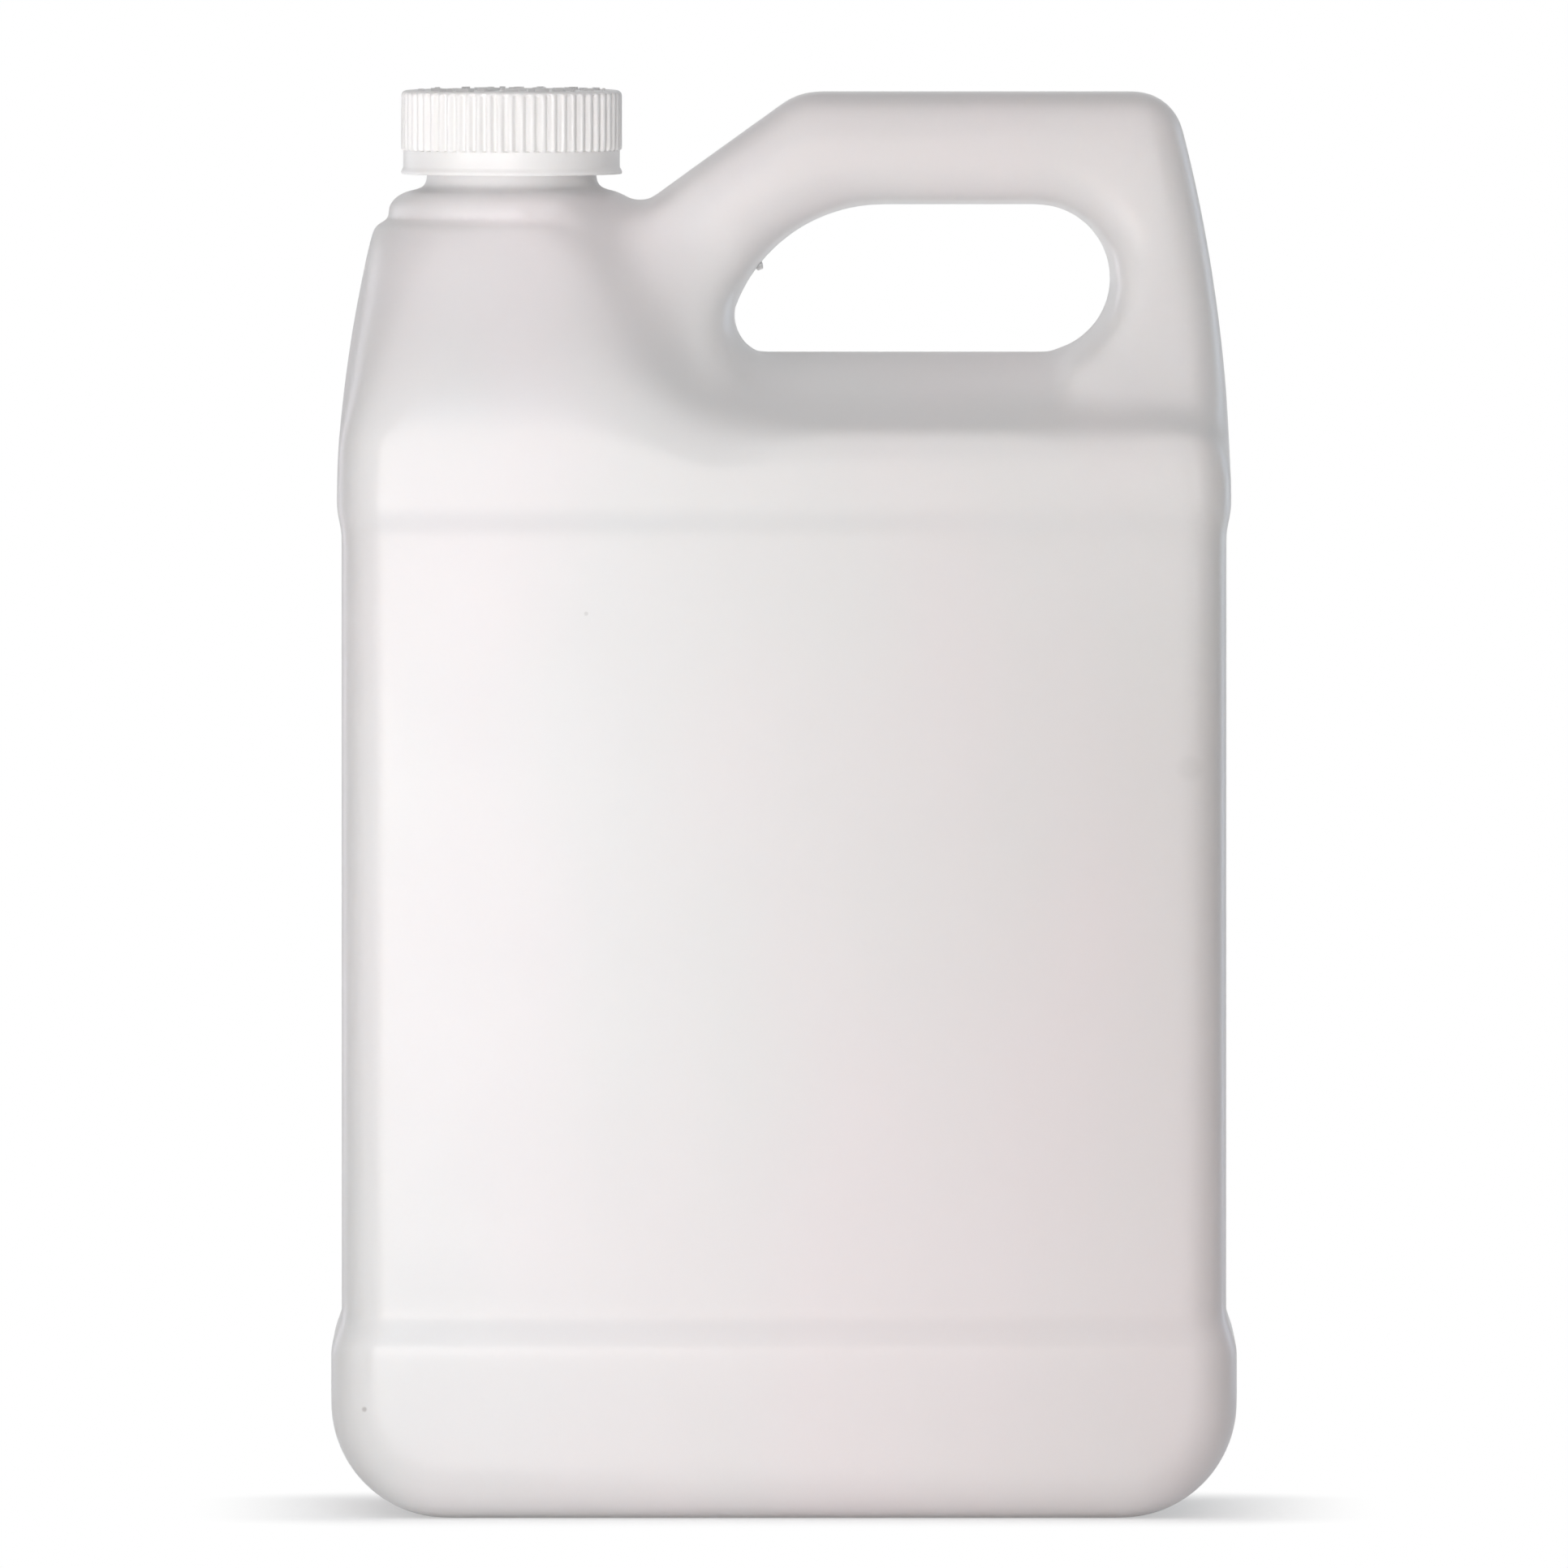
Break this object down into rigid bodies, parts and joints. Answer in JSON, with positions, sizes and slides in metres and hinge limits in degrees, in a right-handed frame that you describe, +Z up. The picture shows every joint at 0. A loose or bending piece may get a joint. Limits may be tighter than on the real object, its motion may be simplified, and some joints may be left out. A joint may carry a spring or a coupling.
{
  "type": "f-style jug",
  "caption": "Blow-moulded F-style plastic jug with an off-centre neck, a through handle, a recessed label panel and a ribbed screw cap.",
  "frame": {"origin": "centre of the footprint, on the surface that the jug stands on", "axes": "+Z up, +X from the neck side to the handle side, -Y the front face"},
  "size_m": [0.188, 0.095, 0.296],
  "materials": {
    "jug_plastic": "natural milky polyethylene, satin, slightly see-through",
    "cap_plastic": "white moulded polypropylene, satin"
  },
  "bodies": {
    "root": {"jug": "jug_plastic", "cap": "cap_plastic"}
  },
  "joints": []
}
